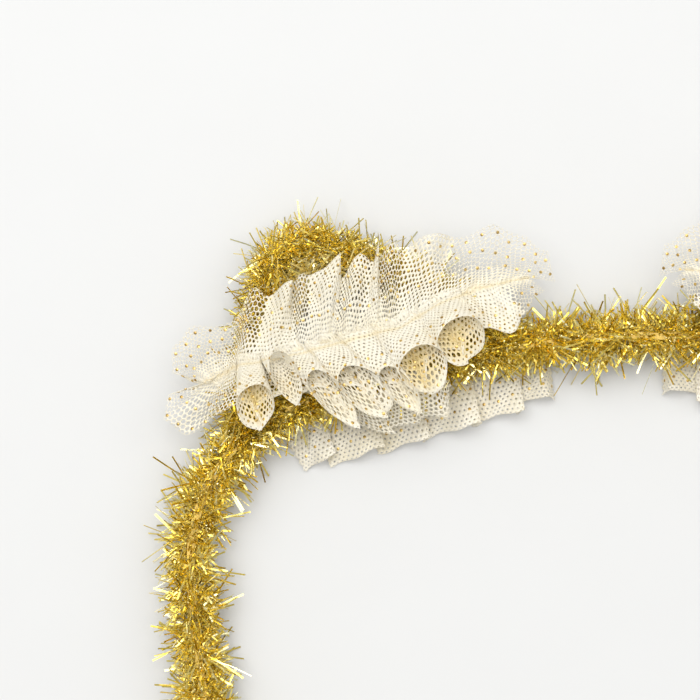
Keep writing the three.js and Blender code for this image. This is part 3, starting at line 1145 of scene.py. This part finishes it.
@dataclass
class Flounce:
    """A strip of net between a gathered line and a wavy free edge.

    Both lines have a row for each place, in millimetres. Dense is how far the net is doubled there, hem
    whether it is hemmed, and gold how much painted gold glow the threads get there. The seed shifts the
    crumples and the dots.
    """

    gather: np.ndarray
    edge: np.ndarray
    dense: np.ndarray
    hem: np.ndarray
    gold: np.ndarray
    seed: int

    def __post_init__(self) -> None:
        """Measure the flat strip: net gathers, but it hardly stretches, so it follows the longer line."""
        steps = [np.linalg.norm(np.diff(line, axis=0), axis=1) for line in (self.gather, self.edge)]
        self.run = np.concatenate([[0.0], np.cumsum(np.maximum(*steps))])
        self.width = float(np.linalg.norm(self.edge - self.gather, axis=1).mean())
        self.length = float(self.run[-1])

    def point(self, run: np.ndarray, share: np.ndarray) -> np.ndarray:
        """Points of the sheet.

        Args:
            run: Lengths along the flat strip.
            share: Shares of the way from the gather to the free edge.

        Returns:
            The points, one row each.
        """
        both = [
            np.stack([np.interp(run, self.run, line[:, axis]) for axis in range(3)], axis=-1)
            for line in (self.gather, self.edge)
        ]
        return both[0] + (both[1] - both[0]) * share[..., None]

    def crumpled(self, net: Net, cells: Cells) -> np.ndarray:
        """Points of the sheet with its crumples, and its pleats near the gather.

        Args:
            net: The net's sizes.
            cells: Its cells.

        Returns:
            The cells' middles, none of them below the net's lowest height.
        """
        run, share = cells.run, cells.share
        wave = sum(
            np.sin(run * by_run + cells.row * by_row + number * self.seed)
            for number, (by_run, by_row) in enumerate(net.waves, 1)
        )
        points = self.point(run, share + net.drift * wave)
        pleat = np.sin(run * FULL_TURN / net.pleat_run + np.sin(run * net.pleat_sway + self.seed))
        points[..., 2] += net.crumple * wave * np.sqrt(np.clip(share, 0, 1))
        points[..., 2] += net.pleat * pleat * np.clip(1 - share, 0, 1)
        points[..., 2] = np.maximum(points[..., 2], net.lowest)
        return points

    def closeness(self, net: Net, cells: Cells) -> np.ndarray:
        """How far the threads close the cells: most at the gather and in the hem.

        Args:
            net: The net's sizes.
            cells: Its cells.

        Returns:
            The closeness of each cell, from 0 to 1.
        """
        run, row, share = cells.run, cells.row, cells.share
        dense = np.interp(run, self.run, self.dense)
        gathered = np.clip(dense + (1 - dense) * (1 - net.fade * share), dense, 1)
        hemmed = np.interp(run, self.run, self.hem) * (row >= row.max() - net.hem_rows)
        uneven = np.random.default_rng(self.seed).uniform(-net.unevenness, net.unevenness, share.shape)
        return np.clip(np.maximum(gathered + uneven, hemmed), 0, 1)

    def glow(self, net: Net, cells: Cells) -> np.ndarray:
        """How much painted gold the threads get: glow between seam and rim as the folds say, and painted
        shade on the seam.

        Args:
            net: The net's sizes.
            cells: Its cells.

        Returns:
            The painted gold of each cell, from 0 to 1.
        """
        share = cells.share
        inner = np.clip(net.seam_fade * share, 0, 1) * np.clip(net.rim_fade * (1 - share), 0, 1)
        # Painted shade: the seam gets a golden tan where the two flounces shade each other.
        seam = net.seam_gold * np.clip(1 - np.abs(share) / net.seam_width, 0, 1)
        return np.maximum(np.interp(cells.run, self.run, self.gold) * inner, seam)

    def dotted(self, net: Net, cells: Cells) -> np.ndarray:
        """Which cells hold dots.

        Args:
            net: The net's sizes.
            cells: Its cells.

        Returns:
            True for each cell with a dot, none of them on the sheet's rim.
        """
        column, row = cells.column, cells.row
        shift = (net.dot_columns // 2) * (row // net.dot_rows % 2) + self.seed
        inside = (cells.share > net.dots_from) & (row < row.max()) & (column > 0) & (column < column.max())
        return inside & (row % net.dot_rows == 1) & ((column + shift) % net.dot_columns == 0)

    def lattice(self, net: Net) -> Lattice:
        """Lay the net's cells on the sheet.

        Args:
            net: The net's sizes.

        Returns:
            The lattice of the cells' middles, with odd rows shifted by half a cell.
        """
        free_rows = round(self.width / net.row_step)
        rows = free_rows + net.overlap_rows
        columns = round(self.length / net.pitch)
        column, row = np.meshgrid(np.arange(columns + 1), np.arange(rows + 1), indexing="ij")
        cells = Cells(
            column=column,
            row=row,
            run=(column + 0.5 * (row % 2)) * (self.length / (columns + 0.5)),
            share=(row - net.overlap_rows) / free_rows,
        )
        return Lattice(
            points=self.crumpled(net, cells).reshape(-1, 3),
            triangles=lattice_triangles(column * (rows + 1) + row),
            closeness=self.closeness(net, cells).ravel(),
            gold=self.glow(net, cells).ravel(),
            dot=self.dotted(net, cells).ravel(),
        )


def lattice_mesh(name: str, flounces: list[Flounce], net: Net, side: Side) -> bpy.types.Mesh:
    """Join the lattices of several flounces.

    Args:
        name: The mesh's name.
        flounces: The flounces.
        net: The net's sizes.
        side: The half that they belong to; the left one has its triangles turned round.

    Returns:
        A mesh in metres with the attributes closeness, gold (the painted gold glow and seam shade) and dot.
    """
    lattices = [flounce.lattice(net) for flounce in flounces]
    starts = np.cumsum([0, *[len(lattice.points) for lattice in lattices]])
    triangles = [lattice.triangles + start for lattice, start in zip(lattices, starts)]
    faces = np.concatenate(triangles)[:, :: side.value]
    points = np.concatenate([lattice.points for lattice in lattices])
    mesh = bpy.data.meshes.new(name)
    mesh.from_pydata((points * MM).tolist(), [], faces.tolist())
    for label, kind in (("closeness", "FLOAT"), ("gold", "FLOAT"), ("dot", "BOOLEAN")):
        values = np.concatenate([getattr(lattice, label) for lattice in lattices])
        mesh.attributes.new(label, kind, "POINT").data.foreach_set("value", values)
    return mesh


@dataclass
class FrontRuffle:
    """The ruffle on an ear: one strip gathered along its middle into an upper and a lower flounce."""

    frame: EarFrame
    gather_line: tuple[Pair, ...] = (
        (-4.4, 7.2),
        (2.6, 8.4),
        (13.4, 7.3),
        (22, 7.0),
        (31.7, 6.6),
        (38.2, 8.2),
        (45.8, 9.2),
        (56, 8.4),
    )
    gather_z: float = 11.5
    gather_lift: float = 1.6
    neck_climb: float = 0.28
    neck_power: float = 4
    bulge: float = 1.14
    lap: float = 0.8
    mouth_dense: float = 0.39
    glow_end: float = 0.7
    samples_per_fold: int = 40
    upper_start: Triple = (-4.8, 7.6, 9.8)
    upper_folds: tuple[Fold, ...] = (
        Fold((-9, 10.6, 10), (-7, 15.2, 10.6), -2.6, 0),
        Fold((-2.9, 17.4, 11.6), (3.4, 16, 11.2), 1.6, 0.05),
        Fold((9.6, 20.4, 12.6), (11.4, 18.8, 12), 5, 0.12),
        Fold((16.4, 20.2, 15), (15.6, 19, 12), 13, 0.96),
        Fold((18.2, 20.8, 14), (19, 19.8, 12.6), 14.6, 0.34),
        Fold((25.6, 21.8, 15), (24, 17.4, 12.4), 20, 0.87),
        Fold((28.8, 21.4, 14), (30.4, 18.8, 12.2), 24.5, 0.6),
        Fold((32.5, 21.6, 15), (31.4, 19.8, 12), 29, 0.91),
        Fold((35, 21.4, 14.4), (36.6, 19.8, 12.4), 30.8, 0.19),
        Fold((42.4, 20.4, 14.8), (45.2, 18.8, 12), 38, 0.56),
        Fold((52.4, 19, 13.6), (56.6, 15.4, 12), 47, 0),
        Fold((60.4, 12, 12.4), (60, 6.2, 11), 56, 0),
    )
    lower_start: Triple = (-4.8, 6.8, 9.8)
    lower_folds: tuple[Fold, ...] = (
        Fold((-11, 7.2, 9.8), (-12.7, 3.4, 10), -2.6, 0.08),
        Fold((-9.6, -0.4, 10.4), (0.8, 2, 13.2), 2.4, 0.25),
        Fold((4.2, 4.6, 17), (7.4, 1.6, 13.4), 6.8, 0.91, -3.6, -1, 0.9),
        Fold((9.8, 9, 16.8), (12.2, 0.8, 13.4), 10.5, 0.91, -1.4, 0.8, 0.2),
        Fold((15, 4, 16.2), (17.4, -0.4, 13.2), 15.5, 0.82, -7.8, 4.4, 0.2),
        Fold((20.8, 2.8, 16), (24.6, -2, 13), 21.5, 0.82, -7.8, 3.8, 0.25),
        Fold((27.2, 0.8, 16), (29.4, -1, 13), 27.5, 0.82, -8.8, 3.4, 0.2),
        Fold((33.4, 2.7, 17.4), (37.6, 0.4, 13.4), 35.5, 0.91, -6.2, 0, 0.9),
        Fold((42.2, 5.3, 17.8), (45.8, 2.4, 13.4), 43.5, 0.91, -2.9, -1.2, 0.8),
        Fold((49.8, -0.2, 16), (53.6, 2.4, 12.8), 50.5, 0.91),
        Fold((55.6, 5, 14), (58, 5.2, 11.6), 56, 0.05),
    )
    skirt_line: tuple[Pair, ...] = ((12, 1), (18, -2.4), (25, -4.2), (31, -3.4), (38, -2))
    skirt_z: float = 11.4
    skirt_start: Triple = (12.5, 0.5, 11)
    skirt_folds: tuple[Fold, ...] = (
        Fold((19.2, -8.1, 9.6), (18, -7.4, 8.8), 18, 0.52),
        Fold((25.8, -11, 9.4), (24.4, -10, 8.4), 25, 0.47),
        Fold((30, -10.4, 9.2), (31, -9.8, 8.6), 29, 0.43),
        Fold((34.8, -10.6, 9.4), (37.6, -5.6, 9), 36, 0.47),
    )

    def flounce(
        self,
        start: Triple,
        folds: tuple[Fold, ...],
        line: tuple[Pair, ...],
        line_z: float,
        side: Side,
        seed: int,
    ) -> Flounce:
        """One flounce, whose free edge rises from each valley to a crest and goes back.

        Args:
            start: The first valley.
            folds: The folds in order.
            line: The gathered line; the first valley is sewn at its start.
            line_z: The height of the gathered line.
            side: The ear.
            seed: The flounce's seed.

        Returns:
            The flounce, with the layers of its rolls folded over one another at the gather too.
        """
        count = len(folds)
        place = np.linspace(0, count, count * self.samples_per_fold + 1)
        number = np.minimum(place.astype(int), count - 1)
        part = place - number
        rising = part < 0.5
        climb = np.where(rising, 2 * part, 2 * (1 - part))
        smooth = 0.5 - 0.5 * np.cos(math.pi * climb)
        dense, slip, gold = np.array([(fold.dense, fold.slip, fold.gold) for fold in folds])[number].T
        sag = np.array([math.nan if fold.sag is None else fold.sag for fold in folds])[number]
        rolled = ~np.isnan(sag)

        # A roll first runs under its own mouth to the bottom, then round the mouth to the crest.
        neck = np.clip(climb / self.neck_climb, 0, 1)
        swing = math.pi * np.clip((climb - self.neck_climb) / (1 - self.neck_climb), 0, 1)
        round_share = np.where(neck < 1, neck, 1 - self.bulge * np.sin(swing))
        sideways = np.where(rolled, round_share, climb)
        lapped = self.lap * np.where(rising, 1, -1) * rolled * neck * (1 + np.cos(swing)) / 2

        valleys = np.array([start, *[fold.valley for fold in folds]])
        foot = np.where(rising[:, None], valleys[number], valleys[number + 1])
        crest = np.array([fold.crest for fold in folds])[number]
        edge = foot + (crest - foot) * np.stack([sideways, smooth, smooth], axis=-1)
        mouth = (crest[:, 1] + sag) / 2 - (crest[:, 1] - sag) / 2 * np.cos(swing)
        under = foot[:, 1] + (sag - foot[:, 1]) * neck**self.neck_power
        edge[:, 0] += lapped + slip * neck * (1 + np.cos(swing)) / 2
        edge[:, 1] = np.where(rolled, np.where(neck < 1, under, mouth), edge[:, 1])

        roots = np.array([line[0][0], *[fold.root for fold in folds]])
        root = np.where(rising, roots[number], roots[number + 1])
        along = root + ((roots[number] + roots[number + 1]) / 2 - root) * sideways + lapped
        out = np.interp(along, *np.array(line).T)
        height = line_z + self.gather_lift * smooth * rolled
        opened = self.mouth_dense + (1 - self.mouth_dense) * smooth**2
        return Flounce(
            gather=self.frame.place(along, out, height, side),
            edge=self.frame.place(*edge.T, side),
            dense=np.where(rolled, dense * opened, dense),
            hem=rolled.astype(float),
            # Painted light: the threads in the roll mouths get gold glow, fading out towards the crest.
            gold=gold * np.clip(1 - (smooth / self.glow_end) ** 2, 0, 1),
            seed=seed,
        )

    def flounces(self, side: Side) -> list[Flounce]:
        """The flounces of one ear.

        Args:
            side: The ear.

        Returns:
            The upper and the lower flounce, and the skirt under the rolls.
        """
        rows = (
            (self.upper_start, self.upper_folds, self.gather_line, self.gather_z),
            (self.lower_start, self.lower_folds, self.gather_line, self.gather_z),
            (self.skirt_start, self.skirt_folds, self.skirt_line, self.skirt_z),
        )
        return [self.flounce(*row, side, seed) for seed, row in enumerate(rows)]


@dataclass
class BackRuffle:
    """The flounce that comes out from under the band behind each ear."""

    path: BandPath
    start_at: float = 62
    root_reach: float = 1.4
    root_z: float = 0.5
    valley_longer: float = 1.2
    valley_z: float = 0.8
    dense: float = 0.89
    seed: int = 3
    samples_per_fold: int = 30
    folds: tuple[BackFold, ...] = (
        BackFold(52.6, 55, 10.6, 3.8),
        BackFold(43.4, 45.6, 12, 5),
        BackFold(34.6, 36.6, 12.6, 4.2),
        BackFold(24.6, 27, 12.2, 5.6),
        BackFold(16, 18, 11.2, 4.6),
        BackFold(11.6, 10, 9.4, 3.6),
    )

    def flounce(self, side: Side) -> Flounce:
        """The flounce of one side.

        Args:
            side: The half of the headband.

        Returns:
            The flounce, with neither hem nor painted gold glow.
        """
        gather, edge = [], []
        valley = self.start_at
        for fold in self.folds:
            for step in range(self.samples_per_fold):
                part = step / self.samples_per_fold
                climb = 2 * part if part < 0.5 else 2 * (1 - part)
                smooth = 0.5 - 0.5 * math.cos(math.pi * climb)
                foot = valley if part < 0.5 else fold.valley_at
                at = foot + (fold.crest_at - foot) * climb
                point, out = self.path.at(at)
                reach = fold.reach + self.valley_longer * (1 - smooth)
                height = self.valley_z + (fold.crest_z - self.valley_z) * smooth
                gather.append([*(point - out * self.root_reach)[:2], self.root_z])
                edge.append([*(point - out * reach)[:2], height])
            valley = fold.valley_at
        mirror = np.array([side.value, 1, 1])
        none = np.zeros(len(edge))
        return Flounce(
            gather=np.array(gather) * mirror,
            edge=np.array(edge) * mirror,
            dense=np.full(len(edge), self.dense),
            hem=none,
            gold=none,
            seed=self.seed,
        )


class Headband:
    """The dressed headband: band strands, ear strands and ruffles on both sides."""

    STRIP_THICK = 1.4
    BARE_TIP = 3
    SEEDS = {Side.LEFT: 20, Side.RIGHT: 60}
    SEED_STEP = 10

    def __init__(self) -> None:
        """Read the band's place from the frame, and make the sizes, the trees and the finishes."""
        strip_low, strip_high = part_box("band_strip")
        crown_y = strip_high.y / MM - self.STRIP_THICK / 2
        self.path = BandPath(crown_y, mid_z=(strip_low.z + strip_high.z) / 2 / MM)
        ear_frame = EarFrame(crown_y)
        self.ear_stem = EarStem(ear_frame, EAR_BENDS)
        self.lining_stem = EarStem(ear_frame, LINING_BENDS)
        self.front = FrontRuffle(ear_frame)
        self.back = BackRuffle(self.path)
        self.net = Net()
        self.band_tinsel = Tinsel(
            strands=9400,
            core_radius=3,
            shortest=2.6,
            longest=8.8,
            film_width=0.42,
            bow=0.16,
            core_rise=(strip_high.z - strip_low.z) / 2 / MM,
        )
        self.ear_tinsel = Tinsel(
            strands=4900,
            core_radius=2.6,
            shortest=2.6,
            longest=9,
            film_width=0.34,
            lean=1.7,
            swirl=1.3,
            bow=0.16,
            pitch=6,
            thinning=2.6,
        )
        self.lining = Tinsel(
            strands=2300,
            core_radius=2.4,
            shortest=2.4,
            longest=6.5,
            film_width=0.36,
            bow=0.16,
            pitch=6,
        )
        self.strand_tree = Tinsel.tree()
        self.net_tree = Net.tree()
        self.film = GoldFilm().material()
        self.lining_film = PAINTED_LIGHT_LINING_FILM.material()
        self.thread = NetThread().material()
        self.shaded_thread = SHADED_NET.material()
        self.dots = GOLD_DOTS.material()

    def dress_strip(self) -> None:
        """Give the band's bare tips their lacquer."""
        strip = bpy.data.objects["band_strip"]
        strip.data.materials.clear()
        strip.data.materials.append(BAND_LACQUER.material())

    def add_strands(self, side: Side, front: list[Flounce]) -> None:
        """Set the strands of one half on the band, on the ear and inside it.

        Args:
            side: The half.
            front: The flounces that cover them.
        """
        cover = bpy.data.objects.new("cover", lattice_mesh("cover", front, self.net, side))
        bpy.context.scene.collection.objects.link(cover)
        ear = f"{side.label}_ear_tinsel"
        garland = self.path.points(side, 0.0, self.path.half - self.BARE_TIP)
        stretches = (
            ("band_strands", "band_tinsel", self.band_tinsel, garland, self.film),
            ("ear_strands", ear, self.ear_tinsel, self.ear_stem.points(side), self.film),
            ("ear_lining", ear, self.lining, self.lining_stem.points(side), self.lining_film),
        )
        for number, (label, node, tinsel, points, film) in enumerate(stretches):
            seed = self.SEEDS[side] + number * self.SEED_STEP
            strands = tinsel.along(self.strand_tree, points, cover, film, seed)
            add_piece(f"{side.label}_{label}", strands, "gold_tinsel", node)
        bpy.data.objects.remove(cover)

    def add_net(
        self,
        name: str,
        flounces: list[Flounce],
        side: Side,
        thread: bpy.types.Material,
        node: str,
    ) -> None:
        """Knit flounces as one piece.

        Args:
            name: The piece's name.
            flounces: Its flounces.
            side: The half that it belongs to.
            thread: The finish of its threads.
            node: The CAD node that it replaces.
        """
        mesh = self.net.knit(self.net_tree, lattice_mesh(name, flounces, self.net, side), thread, self.dots)
        piece = add_piece(name, mesh, "cream_net", node)

    def build_side(self, side: Side) -> None:
        """Make the strands and ruffles of one half.

        Args:
            side: The half.
        """
        front = self.front.flounces(side)
        self.add_strands(side, front)
        upper, *lower = front
        on_ear = f"{side.label}_ruffle_front"
        self.add_net(f"{side.label}_upper_net", [upper], side, self.thread, on_ear)
        self.add_net(f"{side.label}_lower_net", lower, side, self.thread, on_ear)
        behind = f"{side.label}_ruffle_back"
        back = [self.back.flounce(side)]
        self.add_net(f"{side.label}_back_net", back, side, self.shaded_thread, behind)

    def build(self) -> None:
        """Make every piece."""
        self.dress_strip()
        for side in Side:
            self.build_side(side)


@dataclass(frozen=True)
class Lamp:
    """A square soft light: its place, the length of its side, and its power in watts."""

    name: str
    place: Triple
    size: float
    power: float


@dataclass
class Studio:
    """A pale floor, soft light and a camera that looks straight down."""

    crown_y: float
    floor_size: float = 3000
    view_width: float = 125
    view_height: float = 560
    view_x: float = -45.6
    view_above_crown: float = 0.07
    view_turn_deg: float = -3
    sensor: float = 36
    world_colour: Colour = (1.0, 0.985, 0.93, 1)
    world_strength: float = 0.48
    lamps: tuple[Lamp, ...] = (
        Lamp("key", (-310, 435, 925), 800, 4.4),
        Lamp("top", (-80, 250, 1250), 1000, 9.4),
        Lamp("fill", (560, 260, 700), 420, 0.9),
    )

    def add_floor(self) -> None:
        """Lay the paper under the headband."""
        half = self.floor_size / 2 * MM
        corners = [(x * half, y * half, 0) for x, y in ((-1, -1), (1, -1), (1, 1), (-1, 1))]
        mesh = bpy.data.meshes.new("paper")
        mesh.from_pydata(corners, [], [(0, 1, 2, 3)])
        mesh.materials.append(Paper().material())
        floor = bpy.data.objects.new("paper", mesh)
        bpy.context.scene.collection.objects.link(floor)

    def add_light(self, lamp: Lamp) -> None:
        """Add a light that points at the crown's height beside the ear.

        Args:
            lamp: The light.
        """
        data = bpy.data.lights.new(lamp.name, "AREA")
        data.size = lamp.size * MM
        data.energy = lamp.power
        light = bpy.data.objects.new(lamp.name, data)
        light.location = Vector(lamp.place) * MM
        light.rotation_mode = "QUATERNION"
        aim = Vector((self.view_x, self.crown_y, 0)) * MM - light.location
        light.rotation_quaternion = aim.to_track_quat("-Z", "Y")
        bpy.context.scene.collection.objects.link(light)

    def add_world(self) -> None:
        """Fill the room with even, slightly warm light."""
        world = bpy.data.worlds.new("room")
        world.use_nodes = True
        sky = world.node_tree.nodes["Background"]
        sky.inputs["Color"].default_value = self.world_colour
        sky.inputs["Strength"].default_value = self.world_strength
        bpy.context.scene.world = world

    def add_camera(self) -> None:
        """Look straight down at the left ear, turned a little as the headband lies."""
        data = bpy.data.cameras.new("camera")
        data.sensor_width = self.sensor
        data.lens = self.sensor * self.view_height / self.view_width
        data.clip_start = MM
        camera = bpy.data.objects.new("camera", data)
        camera.location = Vector((self.view_x, self.crown_y + self.view_above_crown, self.view_height)) * MM
        camera.rotation_euler = (0, 0, math.radians(self.view_turn_deg))
        bpy.context.scene.collection.objects.link(camera)
        bpy.context.scene.camera = camera

    def build(self) -> None:
        """Set up the floor, the lights and the camera."""
        self.add_floor()
        self.add_world()
        for lamp in self.lamps:
            self.add_light(lamp)
        self.add_camera()
        bpy.context.scene.view_settings.view_transform = "Standard"


def main() -> None:
    """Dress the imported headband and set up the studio."""
    logging.basicConfig(level=logging.INFO, format="%(name)s: %(message)s")
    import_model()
    headband = Headband()
    Studio(headband.path.crown_y).build()
    headband.build()


if __name__ == "__main__":
    main()
